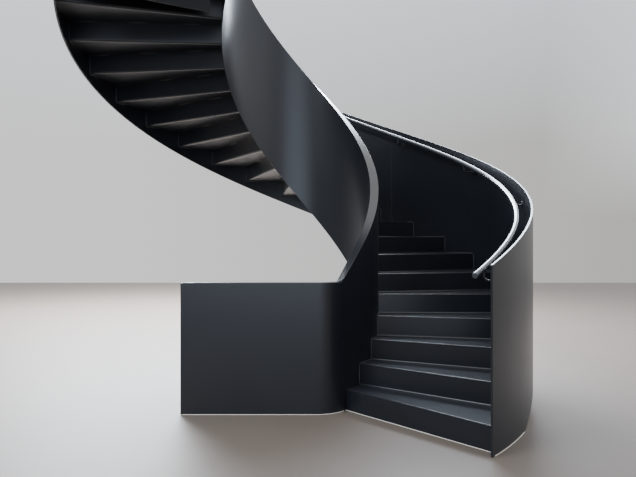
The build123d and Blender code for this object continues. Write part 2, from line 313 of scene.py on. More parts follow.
def satin_coat(name, colour, roughness, wear=0.0, peel=ORANGE_PEEL, gleam=0.5):
    """Dark satin powder coat on steel plate."""
    finish = Finish(bpy.data.materials.new(name), "Principled BSDF")
    place = finish.place()
    drift = finish.noise(place, **DRIFT)
    clouds = finish.noise(place, **CLOUDS)
    streaks = finish.noise(finish.moved(place, (0, 0, 0), STREAK_STRETCH), **STREAKS)
    grain = finish.noise(place, **GRAIN)
    coat = finish.mixed((drift + clouds) * 0.5, tinted(colour, DARK_TINT), tinted(colour, LIGHT_TINT))
    gloss = (drift - 0.5) * DRIFT_GLOSS + (clouds - 0.5) * CLOUD_GLOSS
    gloss = gloss + (streaks - 0.5) * STREAK_GLOSS + (grain - 0.5) * GRAIN_GLOSS + roughness
    if wear:
        across, onward, _ = finish.parts(finish.moved(place, -AXIS))
        flat = finish.node("ShaderNodeCombineXYZ", {}, {0: across, 1: onward}).outputs[0]
        length = finish.node("ShaderNodeVectorMath", {"operation": "LENGTH"}, {0: flat})
        off_walk = (Amount(finish, length.outputs["Value"]) - WALK_RADIUS).size()
        walked = 1 - finish.ramp(off_walk, WALK_HALF_WIDTH * WALK_CORE, WALK_HALF_WIDTH)
        scuffs = finish.ramp(finish.noise(place, **SCUFFS), *SCUFF_RANGE)
        worn = (walked * (1 - WEAR_AT_SIDES) + WEAR_AT_SIDES) * scuffs * wear
        coat = finish.mixed(worn, coat, tinted(colour, DUST_TINT, DUST_LIFT))
        gloss = gloss + worn * WORN_GLOSS
    finish.feed(finish.shader, "Base Color", coat)
    finish.feed(finish.shader, "Roughness", gloss.clamped())
    finish.feed(finish.shader, "Normal", finish.bump(grain + clouds * CLOUD_RELIEF, peel))
    finish.feed(finish.shader, "Specular IOR Level", gleam)
    return finish.owner


NAVY = (0.0070, 0.0080, 0.0108)
PRIMER_GREY = (0.0045, 0.0048, 0.0056)
RAIL_GREY = (0.040, 0.042, 0.048)
BRACKET_GREY = (0.016, 0.017, 0.020)
# The welds wear the same paint as the plates. Their lighter grey is a painted highlight for the light that
# the rounded beads catch.
WELD_HIGHLIGHT_GREY = (0.036, 0.040, 0.047)
SATIN = 0.325
FINISHES = {
    "step_steel": satin_coat("tread_coat", NAVY, SATIN, wear=0.25, gleam=0.38),
    "outer_guard_steel": satin_coat("outer_guard_coat", NAVY, SATIN),
    "inner_guard_steel": satin_coat("inner_guard_coat", NAVY, SATIN),
    "fixing_steel": satin_coat("fixing_primer", PRIMER_GREY, 0.55, gleam=0.2),
    "rail_steel": satin_coat("rail_coat", RAIL_GREY, 0.17, peel=FINE_PEEL),
}
BRACKET_COAT = satin_coat("bracket_coat", BRACKET_GREY, 0.34)
# The weld coat is the plates' satin made lighter, as a painted highlight on the beads.
WELD_HIGHLIGHT_COAT = satin_coat("weld_highlight_coat", WELD_HIGHLIGHT_GREY, 0.42)
SLOT_OF_NODE = {part["node"]: part["material_slot"] for part in frame["record"]["subparts"]}
for name, node in frame["nodes"].items():
    node.data.materials.clear()
    node.data.materials.append(FINISHES[SLOT_OF_NODE[name]])
print("finishes", sorted(FINISHES))

# %% [markdown]
# New pieces start as a bmesh about the stair's axis. One function ends them all: it merges doubles, turns
# the faces outwards, moves the mesh into the frame and weights the normals by face size, so that a small
# rounded edge doesn't bend the light on the large plate beside it.

# %% Finish a piece
SMOOTH_ANGLE = radians(50)
MERGE_DISTANCE = 1e-5


def everything(bm):
    """All points, edges and faces of a mesh, as an operator takes them."""
    return bm.verts[:] + bm.edges[:] + bm.faces[:]


def only(kind, geometry):
    """The items of one kind, such as faces, in what an operator returns."""
    return [item for item in geometry if isinstance(item, kind)]


def make_piece(name, bm, slot, replaced=(), finish=None):
    """Turns a bmesh about the axis into a finished piece of the stair."""
    bmesh.ops.remove_doubles(bm, verts=bm.verts, dist=MERGE_DISTANCE)
    bmesh.ops.recalc_face_normals(bm, faces=bm.faces)
    mesh = bpy.data.meshes.new(name)
    bm.to_mesh(mesh)
    bm.free()
    mesh.transform(Matrix.Translation(AXIS))
    mesh.shade_smooth()
    mesh.set_sharp_from_angle(angle=SMOOTH_ANGLE)
    mesh.materials.append(finish or FINISHES[slot])
    piece = bpy.data.objects.new(name, mesh)
    bpy.context.scene.collection.objects.link(piece)
    normals = piece.modifiers.new("even_light", "WEIGHTED_NORMAL")
    normals.keep_sharp = True
    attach(piece, "root")
    if replaced:
        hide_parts(*replaced)
    print(name, "faces", len(mesh.polygons))
    return piece


# %% [markdown]
# A guard is a tall thin rectangle swept round an arc while it rises. The spin operator does both at once:
# it turns a profile about a centre, and dvec lifts it a little at each step. Where the outer guard passes
# from one arc to the other its slope changes by three degrees. A small lift that grows towards that angle,
# as a parabola does, turns the kink into a soft bend.

# %% Sweep and ease
FACET_ANGLE = 1.0
EASE_ANGLE = 8.0
OPENING_SLOPE = opening_arc.climb_per_degree * OUTER_RADIUS / OPENING_RADIUS
EASE = (main_arc.climb_per_degree - OPENING_SLOPE) / (4 * EASE_ANGLE)
EDGE_ROUNDING = 0.0014
EDGE_SEGMENTS = 2
END_ROUNDING = EDGE_ROUNDING * 0.8


def climb(bm, profile, arc, start, end):
    """Sweeps a profile round an arc from one angle to another and returns its last ring."""
    steps = ceil((end - start) / FACET_ANGLE)
    lift = (arc.height(end) - arc.height(start)) / steps
    swept = bmesh.ops.spin(
        bm, geom=profile, cent=arc.centre, axis=UP, dvec=UP * lift, angle=radians(end - start),
        steps=steps, use_merge=False,
    )
    return swept["geom_last"]


def ease_opening(bm):
    """Softens the change of slope where the two arcs meet."""
    for vert in bm.verts:
        near = EASE_ANGLE - abs(degrees(atan2(vert.co.y, vert.co.x)) - OPENING_ANGLE)
        if near > 0:
            vert.co.z += EASE * near * near


def rounded(bm, geometry, rounding, segments, affect):
    """Bevels edges or corners into a rounding."""
    bmesh.ops.bevel(
        bm, geom=geometry, offset=rounding, offset_type="OFFSET", segments=segments, profile=0.5,
        affect=affect, material=-1,
    )


def round_edges(bm, edges, rounding, segments=EDGE_SEGMENTS):
    rounded(bm, list(edges), rounding, segments, "EDGES")


def rounded_outline(corners, rounding):
    """A face between some corners, each rounded."""
    bm = bmesh.new()
    bm.faces.new([bm.verts.new(corner) for corner in corners])
    rounded(bm, bm.verts[:], rounding, EDGE_SEGMENTS, "VERTICES")
    return bm


def end_faces(bm):
    """The end faces of a swept plate: the only ones with more than four corners."""
    return [face for face in bm.faces if len(face.verts) > 4]


def round_ends(bm):
    """Rounds the rims of both end faces of a swept plate."""
    round_edges(bm, {edge for face in end_faces(bm) for edge in face.edges}, END_ROUNDING)


def cut_at_floor(bm):
    """Takes off what reaches below the floor and closes the cut."""
    bmesh.ops.bisect_plane(bm, geom=everything(bm), plane_co=(0, 0, 0), plane_no=UP, clear_inner=True)
    open_edges = [edge for edge in bm.edges if edge.is_boundary]
    bmesh.ops.triangle_fill(bm, use_beauty=True, edges=open_edges)


# %% [markdown]
# The outer guard is one plate, 15 mm thick, that stands on the floor at its foot and follows the flight as
# a wide band above. Its profile is upright in the plane through the arc's centre. The plate is a tenth of a
# millimetre thinner than the frame's, because the frame's flat facets cut off the curve's furthest point.

# %% Outer guard plate
OUTER_DEPTH = 1.430
SHY = 0.0001
outside = OUTER_THICKNESS - SHY
guard_top = opening_arc.height(OPENING_START) + GUARD_RISE
corners = [
    opening_arc.point(OPENING_RADIUS + across, OPENING_START, guard_top - below)
    for across, below in ((0, OUTER_DEPTH), (outside, OUTER_DEPTH), (outside, 0), (0, 0))
]
bm = rounded_outline(corners, EDGE_ROUNDING)
last_ring = climb(bm, everything(bm), opening_arc, OPENING_START, OPENING_ANGLE)
climb(bm, last_ring, main_arc, OPENING_ANGLE, GUARD_END)
round_ends(bm)
ease_opening(bm)
cut_at_floor(bm)
outer_nodes = [name for name in frame["nodes"] if name.startswith("outer_guard")]
make_piece("outer_guard_plate", bm, "outer_guard_steel", outer_nodes)

# %% [markdown]
# The inner guard is a hollow wall of thin sheet, 75 mm thick. It starts as the flat parapet at the left of
# the first step, bends round, and then winds up round the open well. On the real stair it is one smooth
# welded shell, so here it is one mesh. Its plan is swept flat first, as a wall one metre high, and then
# every point is moved to its height. The parapet and the bend are a closed box that stands on the floor,
# cut where the slope overtakes the parapet so that the kink there stays crisp.

# %% Inner guard: parapet and bend
INNER_THICKNESS = 0.075
INNER_DEPTH = 1.370
PARAPET_HEIGHT = 1.040
PARAPET_LENGTH = 1.071
PARAPET_SETBACK = 0.790
BEND_RADIUS = 0.282
BEND_JOIN = -40.0
BEND_TURN = 90 + BEND_JOIN
BEND_STEPS = 20
RUN_STEPS = 12
join_direction = polar(1, BEND_JOIN + 90)
join_point = polar(INNER_RADIUS, BEND_JOIN)
run_to_corner = (join_point.y + PARAPET_SETBACK) / join_direction.y
corner_cut = BEND_RADIUS * tan(radians(BEND_TURN / 2))
bend_start_x = join_point.x - join_direction.x * run_to_corner - corner_cut
bend_centre = Vector((bend_start_x, BEND_RADIUS - PARAPET_SETBACK, 0))
straight_run = run_to_corner - corner_cut


def draw_out(bm, face, along, parts=1):
    """Extrudes an end face in equal parts and returns the last one."""
    for _ in range(parts):
        made = bmesh.ops.extrude_face_region(bm, geom=[face])["geom"]
        bmesh.ops.translate(bm, verts=only(bmesh.types.BMVert, made), vec=along / parts)
        bmesh.ops.delete(bm, geom=[face], context="FACES_ONLY")
        face = only(bmesh.types.BMFace, made)[0]
    return face


corners = [
    Vector((bend_start_x - PARAPET_LENGTH, across - PARAPET_SETBACK, height))
    for across, height in ((0, 0), (INNER_THICKNESS, 0), (INNER_THICKNESS, 1), (0, 1))
]
bm = rounded_outline(corners, EDGE_ROUNDING)
made = bmesh.ops.extrude_face_region(bm, geom=bm.faces[:])["geom"]
bmesh.ops.translate(bm, verts=only(bmesh.types.BMVert, made), vec=(PARAPET_LENGTH, 0, 0))
spun = bmesh.ops.spin(
    bm, geom=made, cent=bend_centre, axis=UP, angle=radians(BEND_TURN), steps=BEND_STEPS, use_merge=False,
)
end_face = only(bmesh.types.BMFace, spun["geom_last"])[0]
draw_out(bm, end_face, join_direction * straight_run, RUN_STEPS)
far_face = min(end_faces(bm), key=lambda face: face.calc_center_median().x)
round_edges(bm, far_face.edges, END_ROUNDING)
kink_angle = FIRST_ANGLE + STEP_ANGLE * ((PARAPET_HEIGHT - GUARD_RISE) / RISER - 1)
bmesh.ops.bisect_plane(bm, geom=everything(bm), plane_co=(0, 0, 0), plane_no=polar(1, kink_angle + 90))
print("straight run", round(straight_run, 3), "kink angle", round(kink_angle, 2))

# %% [markdown]
# Round the well only the skin on the well's side hangs below the steps. The treads run through to it under
# the wall, and the skin on the stair's side stands on them, so its foot follows each tread and jumps up at
# each riser. The sweep is therefore made step by step. Every length starts from a copy of the last ring,
# the points at the skin's foot get the height of their own tread, and the jump between two lengths is
# bridged. The foot points are known by a mark, their height in the one-metre wall. A plate between the
# skins closes the upper end.

# %% Inner guard: round the well
SKIN = 0.005
FOOT_MARK = 0.25
WALL_MIDDLE = 0.5
BEYOND_PARAPET = -145
END_PLATE_BACK = 0.05
foot_angle = FIRST_ANGLE + STEP_ANGLE * ((INNER_DEPTH - GUARD_RISE) / RISER - 1)


def riser_ends(number):
    """Both ends of a riser's front line: the first few lie askew, as on a balanced stair."""
    skew = FIRST_SKEW * max(0, SKEWED_RISERS + 1 - number) / SKEWED_RISERS
    return polar(INNER_RADIUS, riser_angle(number) - skew), polar(OUTER_RADIUS, riser_angle(number))


def plan_angle(place):
    """Angle of a point about the axis. Beyond the parapet's far end it belongs to the upper flight."""
    angle = degrees(atan2(place.y, place.x))
    return angle + 360 if angle < BEYOND_PARAPET else angle


well_radius = INNER_RADIUS - INNER_THICKNESS
outline = (
    (well_radius, 0), (well_radius + SKIN, 0), (well_radius + SKIN, 1 - SKIN),
    (INNER_RADIUS - SKIN, 1 - SKIN), (INNER_RADIUS - SKIN, FOOT_MARK), (INNER_RADIUS, FOOT_MARK),
    (INNER_RADIUS, 1), (well_radius, 1),
)
profile = rounded_outline([polar(radius, BEND_JOIN, height) for radius, height in outline], EDGE_ROUNDING)
bmesh.ops.delete(profile, geom=profile.faces[:], context="FACES_ONLY")
profile_mesh = bpy.data.meshes.new("guard_profile")
profile.to_mesh(profile_mesh)
box_verts = set(bm.verts)
bm.from_mesh(profile_mesh)
ring_verts = [vert for vert in bm.verts if vert not in box_verts]
ring = ring_verts + list({edge for vert in ring_verts for edge in vert.link_edges})
stops = [(BEND_JOIN, 2), (foot_angle, 2)]
stops += [(plan_angle(riser_ends(number)[0]), number) for number in range(3, RISER_COUNT + 1)]
stops.append((GUARD_END, RISER_COUNT))
level_arc = Arc(Vector((0, 0, 0)), INNER_RADIUS, 0.0)
standing = set()
jumps = []


def at_foot(vert):
    """Whether a point of the one-metre wall is at the foot of the stair-side skin."""
    return abs(vert.co.z - FOOT_MARK) < 2 * EDGE_ROUNDING


def foot_edges(ring):
    """The edges of a ring at the foot of the skin on the stair's side."""
    return [edge for edge in only(bmesh.types.BMEdge, ring) if all(at_foot(vert) for vert in edge.verts)]


for (start, number), (end, _) in zip(stops, stops[1:]):
    known = set(bm.verts) - set(only(bmesh.types.BMVert, ring))
    last_ring = climb(bm, ring, level_arc, start, end)
    if end == GUARD_END:
        bmesh.ops.contextual_create(bm, geom=only(bmesh.types.BMEdge, last_ring))
    else:
        ring = bmesh.ops.duplicate(bm, geom=last_ring)["geom"]
        known |= set(only(bmesh.types.BMVert, ring))
        jumps.append(foot_edges(last_ring) + foot_edges(ring))
    for vert in bm.verts:
        if vert not in known and at_foot(vert):
            vert.co.z += number * RISER - PLATE / 2 - FOOT_MARK
            standing.add(vert)
for edges in jumps[1:]:
    bmesh.ops.bridge_loops(bm, edges=edges)
seat_radius = well_radius + SKIN / 2
far_radius = INNER_RADIUS - SKIN / 2
plate_top = 1 - SKIN / 2
corners = [
    polar(radius, GUARD_END - END_PLATE_BACK, height)
    for radius, height in (
        (seat_radius, 0), (far_radius, 0), (far_radius, plate_top), (seat_radius, plate_top),
    )
]
end_plate = bm.faces.new([bm.verts.new(corner) for corner in corners])
made = bmesh.ops.extrude_face_region(bm, geom=[end_plate])["geom"]
bmesh.ops.translate(bm, verts=only(bmesh.types.BMVert, made), vec=polar(SKIN / 2, GUARD_END - 90))
for vert in bm.verts:
    if vert in standing:
        continue
    slope = slope_height(plan_angle(vert.co)) + GUARD_RISE
    if vert.co.z > WALL_MIDDLE:
        vert.co.z += max(PARAPET_HEIGHT, slope) - 1
    else:
        vert.co.z += max(0.0, slope - INNER_DEPTH)
inner_nodes = [name for name in frame["nodes"] if name.startswith("inner_guard")]
make_piece("inner_guard_shell", bm, "inner_guard_steel", [*inner_nodes, "guard_bend", "front_parapet"])
print("foot leaves the floor at", round(foot_angle, 2), "degrees, lengths", len(stops) - 1)


# %% [markdown]
# The steps have the right shape in the frame already, but its triangles are loose and flat-shaded, so a
# folded edge would show its facets. A merged copy with smooth folds stands in for each of them. Round the
# well its inner end is drawn out under the guard to the skin on the well's side, along the riser's own line
# near a riser and straight towards the axis between them.

# %% Smooth copies of the folded sheets
NEAR_LINE = 0.022
INNER_END_REACH = 0.002


def carry_to_well(bm, number):
    """Draws the inner end of a tread and of the riser behind it out to the well's skin."""
    lines = [riser_ends(number), riser_ends(number + 1)]
    for vert in bm.verts:
        flat = Vector((vert.co.x, vert.co.y, 0))
        if flat.length > INNER_RADIUS + INNER_END_REACH or plan_angle(flat) < BEND_JOIN:
            continue
        away = flat.normalized()
        for inner, outer in lines:
            along = (outer - inner).normalized()
            if abs((flat - inner).cross(along).z) < NEAR_LINE:
                away = along
        vert.co -= away * (flat.length - seat_radius)


def smooth_copy(node_name, number=0):
    """A merged copy of a node with smooth folds. Steps above the first go on to the well's skin."""
    bm = bmesh.new()
    bm.from_mesh(frame["nodes"][node_name].data)
    bmesh.ops.translate(bm, verts=bm.verts, vec=-AXIS)
    bmesh.ops.remove_doubles(bm, verts=bm.verts, dist=MERGE_DISTANCE)
    if number > 1:
        carry_to_well(bm, number)
    return make_piece(node_name + "_sheet", bm, SLOT_OF_NODE[node_name], [node_name])


for number in range(1, RISER_COUNT):
    smooth_copy(f"step_{number:02d}", number)
smooth_copy("first_riser")
smooth_copy("landing_lip")
print("sheets", RISER_COUNT + 1)

# %% [markdown]
# The handrail is a round tube. Its ring stands upright in the plane through the arc's centre, a little
# taller than it is wide because the rail slopes, so that both arcs share the ring where they meet. The
# lowest end is cut square and closed by a cap with a softened rim.

# %% Handrail
RAIL_RADIUS = 0.0212
RAIL_STAND_OFF = 0.111
RAIL_DROP = 0.075
RAIL_END = 206.0
RAIL_SIDES = 32
CAP_LENGTH = 0.012
CAP_ROUNDING = 0.004
CAP_SEGMENTS = 4
RAIL_RISE = GUARD_RISE - RAIL_DROP
main_rail_radius = OUTER_RADIUS - RAIL_STAND_OFF
opening_rail_radius = OPENING_RADIUS - RAIL_STAND_OFF
rail_start = OPENING_START + degrees(CAP_LENGTH / opening_rail_radius)
stretch = hypot(1, main_arc.climb_per_degree / (main_rail_radius * radians(1)))


def rail_point(arc, turn):
    """The middle of the rail at an angle about an arc's centre."""
    return arc.point(arc.guard_radius - RAIL_STAND_OFF, turn, arc.height(turn) + RAIL_RISE)


def ring_facing(bm, place, direction, radius, sides, capped=False, tall=1.0):
    """The points of a ring square to a direction, with its x level."""
    level = UP.cross(direction).normalized()
    turn = Matrix((level, direction.cross(level), direction)).transposed().to_4x4()
    matrix = Matrix.Translation(place) @ turn @ Matrix.Diagonal((1, tall, 1, 1))
    made = bmesh.ops.create_circle(bm, cap_ends=capped, radius=radius, segments=sides, matrix=matrix)
    return made["verts"]


def edges_within(verts):
    """The edges that join some of these points."""
    return list({edge for vert in verts for edge in vert.link_edges if edge.other_vert(vert) in verts})


bm = bmesh.new()
foot = rail_point(opening_arc, rail_start)
uphill = opening_arc.along(opening_rail_radius, rail_start)
first_ring = ring_facing(bm, foot, polar(1, rail_start + 90), RAIL_RADIUS, RAIL_SIDES, tall=stretch)
first_edges = edges_within(first_ring)
last_ring = climb(bm, first_ring + first_edges, opening_arc, rail_start, OPENING_ANGLE)
last_ring = climb(bm, last_ring, main_arc, OPENING_ANGLE, RAIL_END)
bmesh.ops.contextual_create(bm, geom=only(bmesh.types.BMEdge, last_ring))
ease_opening(bm)
cap_ring = ring_facing(bm, foot - uphill * CAP_LENGTH, uphill, RAIL_RADIUS, RAIL_SIDES, capped=True)
rim = edges_within(cap_ring)
bmesh.ops.bridge_loops(bm, edges=first_edges + rim)
round_edges(bm, rim, CAP_ROUNDING, CAP_SEGMENTS)
rail_nodes = [name for name in frame["nodes"] if name.startswith("handrail_")]
rail_nodes.remove("handrail_brackets")
make_piece("handrail_tube", bm, "rail_steel", rail_nodes)

# %% [markdown]
# A bracket carries the rail about every metre: a round rod comes out of a small rosette on the guard, bends
# once and goes up under the rail. The rosette's rim is rounded and two small screws hold it.

# %% Handrail brackets
ROD_RADIUS = 0.007
ROD_SIDES = 14
ROD_BEND = 0.030
ROD_BEND_STEPS = 10
ROD_REACH = RAIL_RADIUS * 0.6
BRACKET_DROP = 0.085
ROSETTE_RADIUS = 0.030
ROSETTE_THICKNESS = 0.005
ROSETTE_ROUNDING = 0.0016
ROSETTE_SIDES = 32
ROSETTE_GAP = 0.0003
SCREW_RADIUS = 0.0042
SCREW_HEIGHT = 0.0012
SCREW_ROUNDING = 0.0006
SCREW_SIDES = 14
SCREW_OFFSET = 0.019
LOWEST_BRACKET = -48.4
SECOND_BRACKET = -3.8
BRACKET_STEP = 28.6
UPPER_BRACKETS = 8


def disc(bm, place, direction, radius, thickness, rounding, sides):
    """A closed disc that stands on a surface, with a rounded rim."""
    base = ring_facing(bm, place, direction, radius, sides, capped=True)
    made = bmesh.ops.extrude_face_region(bm, geom=[base[0].link_faces[0]])["geom"]
    bmesh.ops.translate(bm, verts=only(bmesh.types.BMVert, made), vec=direction * thickness)
    top = only(bmesh.types.BMFace, made)[0]
    round_edges(bm, top.edges, rounding)


def bracket(bm, arc, turn):
    """One bent rod with its rosette."""
    inward = polar(-1, turn)
    onward = polar(1, turn + 90)
    wall = arc.point(arc.guard_radius - ROSETTE_GAP, turn, arc.height(turn) + RAIL_RISE - BRACKET_DROP)
    face = wall + inward * ROSETTE_THICKNESS
    disc(bm, wall, inward, ROSETTE_RADIUS, ROSETTE_THICKNESS, ROSETTE_ROUNDING, ROSETTE_SIDES)
    for side in (-1, 1):
        place = face + onward * SCREW_OFFSET * side
        disc(bm, place, inward, SCREW_RADIUS, SCREW_HEIGHT, SCREW_ROUNDING, SCREW_SIDES)
    rod = ring_facing(bm, face, inward, ROD_RADIUS, ROD_SIDES, capped=True)
    arm_length = RAIL_STAND_OFF - ROSETTE_THICKNESS - ROD_BEND
    end = draw_out(bm, rod[0].link_faces[0], inward * arm_length)
    bend = face + inward * arm_length + UP * ROD_BEND
    bent = bmesh.ops.spin(
        bm, geom=[end, *end.edges, *end.verts], cent=bend, axis=onward, angle=radians(90),
        steps=ROD_BEND_STEPS, use_merge=False,
    )["geom_last"]
    draw_out(bm, only(bmesh.types.BMFace, bent)[0], UP * (BRACKET_DROP - ROD_BEND - ROD_REACH))


bm = bmesh.new()
bracket(bm, opening_arc, opening_turn(LOWEST_BRACKET))
for index in range(UPPER_BRACKETS):
    bracket(bm, main_arc, SECOND_BRACKET + index * BRACKET_STEP)
make_piece("handrail_bracket_rods", bm, "rail_steel", ["handrail_brackets"], finish=BRACKET_COAT)


# %% [markdown]
# Welds tell how the stair was made. A bead is a small ring of points carried along a path and bridged, with
# its thickness rippling a little, as a welder's passes leave it. Its middle stands a little off the corner
# that it fills.

# %% Weld beads
BEAD_SIDES = 8
BEAD_TIP = 0.35
SEAT_SHARE = 0.4
WELD_RIPPLE = 0.12


def bead(bm, path, radius, ripple=WELD_RIPPLE):
    """A rounded bead along a path of points, thinner at its ends."""
    last = len(path) - 1
    previous = []
    for index, point in enumerate(path):
        along = (path[min(index + 1, last)] - path[max(index - 1, 0)]).normalized()
        at_end = index in (0, last)
        size = radius * (BEAD_TIP if at_end else 1 + ripple * (1 if index % 2 else -1))
        turn = along.to_track_quat("Z", "Y").to_matrix().to_4x4()
        ring = bmesh.ops.create_circle(
            bm, cap_ends=at_end, radius=size, segments=BEAD_SIDES, matrix=Matrix.Translation(point) @ turn,
        )["verts"]
        edges = edges_within(ring)
        if previous:
            bmesh.ops.bridge_loops(bm, edges=previous + edges)
        previous = edges


def points_between(first, last, spacing):
    """Points on a straight line, evenly spaced."""
    count = max(2, round((last - first).length / spacing))
    return [first.lerp(last, index / count) for index in range(count + 1)]


# %% [markdown]
# On the underside three short stitch welds tie each tread to the top of the riser below it. A welder sets
# them by eye, so they lie a little to and fro of their marks.

# %% Stitch welds under the treads
STITCH_RADII = (0.976, 1.425, 1.895)
STITCH_LENGTH = 0.150
STITCH_SPACING = 0.012
STITCH_SIZE = 0.0035
STITCH_SEAT = STITCH_SIZE * SEAT_SHARE
WOBBLE = (0.012, -0.020, 0.006, -0.004, 0.018, -0.012, 0.009)
bm = bmesh.new()
count = 0
for number in range(1, RISER_COUNT + 1):
    inner_end, outer_end = riser_ends(number)
    along = (outer_end - inner_end).normalized()
    onward = UP.cross(along)
    corner = inner_end + onward * (PLATE + STITCH_SEAT) + UP * (number * RISER - PLATE - STITCH_SEAT)
    for place, radius in enumerate(STITCH_RADII):
        shift = WOBBLE[(number * 3 + place) % len(WOBBLE)]
        first = corner + along * (radius - INNER_RADIUS + shift - STITCH_LENGTH / 2)
        bead(bm, points_between(first, first + along * STITCH_LENGTH, STITCH_SPACING), STITCH_SIZE)
        count += 1
# The stitch welds take the lighter weld grey, a painted highlight.
make_piece("stitch_welds", bm, "step_steel", finish=WELD_HIGHLIGHT_COAT)
print("stitch welds", count)

# %% [markdown]
# A continuous fillet closes each sheet against both guards. In front it runs up the ends of the riser and
# along the ends of the tread. Behind, it runs down the riser's outer end, round the fold and a hand's width
# along the underside of the tread.

# %% Fillets
FILLET = 0.0036
FILLET_SPACING = 0.016
FILLET_SEAT = FILLET * SEAT_SHARE
FOLD = 0.012
NOSE_GAP = FOLD * 0.6
FOLD_CORNER = FOLD * 0.3
TREAD_TRIM = 0.010
FAR_TRIM_SHARE = 0.4
UNDER_RUN = 0.135
PER_METRE = degrees(1 / OUTER_RADIUS)


def guard_arc(angle):
    """The arc that the outer guard follows at an angle about the axis."""
    return opening_arc if angle < OPENING_ANGLE else main_arc


def on_outer_guard(angle, inset, height):
    """A point at an angle about the axis, a little inside the outer guard."""
    if angle < OPENING_ANGLE:
        return opening_arc.point(OPENING_RADIUS - inset, opening_turn(angle), height)
    return main_arc.point(OUTER_RADIUS - inset, angle, height)


def outer_foot(number):
    """The angle at which a riser's front line meets the outer guard."""
    inner, outer = riser_ends(number)
    along = (outer - inner).normalized()
    arc = guard_arc(riser_angle(number))
    offset = inner - arc.centre
    middle = offset.dot(along)
    reach = -middle + (middle ** 2 - offset.length_squared + arc.guard_radius ** 2) ** 0.5
    return plan_angle(inner + along * reach)


def round_tread(place, first, last, height):
    """Points along the end of a tread, from one angle to another."""
    count = max(2, round((place(first, height) - place(last, height)).length / FILLET_SPACING))
    return [place(first + (last - first) * index / count, height) for index in range(count + 1)]


def on_inner_guard(angle, height):
    return polar(INNER_RADIUS + FILLET_SEAT, angle, height)


def beside_outer_guard(angle, height):
    return on_outer_guard(angle, FILLET_SEAT, height)


bm = bmesh.new()
for number in range(1, RISER_COUNT + 1):
    foot = (number - 1) * RISER + FILLET_SEAT * (number > 1)
    head = number * RISER - NOSE_GAP
    inner_angle = plan_angle(riser_ends(number)[0])
    for place, angle in ((on_inner_guard, inner_angle), (beside_outer_guard, outer_foot(number))):
        if number == 1 and place == on_inner_guard:
            continue
        front = angle - degrees(FILLET_SEAT / place(angle, 0).length)
        bead(bm, points_between(place(front, foot), place(front, head), FILLET_SPACING), FILLET)
for number in range(2, RISER_COUNT):
    level = number * RISER + FILLET_SEAT
    for place, first, last in (
        (on_inner_guard, plan_angle(riser_ends(number)[0]), plan_angle(riser_ends(number + 1)[0])),
        (beside_outer_guard, outer_foot(number), outer_foot(number + 1)),
    ):
        trim = degrees(TREAD_TRIM / place(first, 0).length)
        bead(bm, round_tread(place, first + trim, last - trim * FAR_TRIM_SHARE, level), FILLET)
for number in range(2, RISER_COUNT + 1):
    behind = outer_foot(number) + (PLATE + FILLET_SEAT) * PER_METRE
    under = (number - 1) * RISER - PLATE - FILLET_SEAT
    top = beside_outer_guard(behind, number * RISER - PLATE - FOLD)
    down = points_between(top, beside_outer_guard(behind, under + FOLD), FILLET_SPACING)
    turned = [beside_outer_guard(behind - FOLD_CORNER * PER_METRE, under + FOLD_CORNER)]
    first, last = behind - FOLD * PER_METRE, behind - UNDER_RUN * PER_METRE
    bead(bm, down + turned + round_tread(beside_outer_guard, first, last, under), FILLET)
# The fillets take the lighter weld grey, a painted highlight.
make_piece("sheet_fillets", bm, "step_steel", finish=WELD_HIGHLIGHT_COAT)

# %% [markdown]
# The outer guard's own plates are joined by upright seams, ground nearly flush, so only a slight ridge is
# left of each on the inside.

# %% Ground seams
FIRST_SEAM = -6.5
SEAM_STEP = 32.0
SEAM_COUNT = 7
SEAM = 0.003
SEAM_SUNK = 0.0021
SEAM_SPACING = 0.03
SEAM_TOP_GAP = 0.004
SEAM_FOOT_GAP = 0.008
GROUND_RIPPLE = 0.05
bm = bmesh.new()
for index in range(SEAM_COUNT):
    angle = FIRST_SEAM + index * SEAM_STEP
    top = slope_height(angle) + GUARD_RISE - SEAM_TOP_GAP
    foot = main_arc.point(OUTER_RADIUS + SEAM_SUNK, angle, top - OUTER_DEPTH + SEAM_FOOT_GAP)
    head = main_arc.point(OUTER_RADIUS + SEAM_SUNK, angle, top)
    bead(bm, points_between(foot, head, SEAM_SPACING), SEAM, ripple=GROUND_RIPPLE)
make_piece("outer_guard_seams", bm, "outer_guard_steel")

# %% [markdown]
# Where the stair meets the floor, a fitter has run a thin line of pale sealant. It follows the foot of the
# parapet and the bend, the first riser, and the outer guard until that leaves the floor. It is soft and
# matt, and a finger has smoothed it, so its bead hardly ripples.

# %% Sealant at the floor
SEALANT = 0.0034
SEALANT_OUT = SEALANT * 0.6
SEALANT_SPACING = 0.03
SEALANT_LIFT = UP * SEALANT * 1.03
SEALANT_START = 0.4
SEALANT_DARK, SEALANT_LIGHT = (0.40, 0.36, 0.31, 1), (0.54, 0.50, 0.44, 1)
SEALANT_ROUGHNESS, SMEAR_ROUGHNESS = 0.45, 0.25
SMEARS = {"scale": 40.0, "detail": 4.0}
SMEAR_RELIEF = 0.0003
FINGER_RIPPLE = 0.02
BEND_FOOT_PARTS = 14
GUARD_FOOT_PARTS = 24


def sealant_line(bm, path):
    """A smoothed bead of sealant along a line on the floor."""
    bead(bm, [point + SEALANT_LIFT for point in path], SEALANT, ripple=FINGER_RIPPLE)


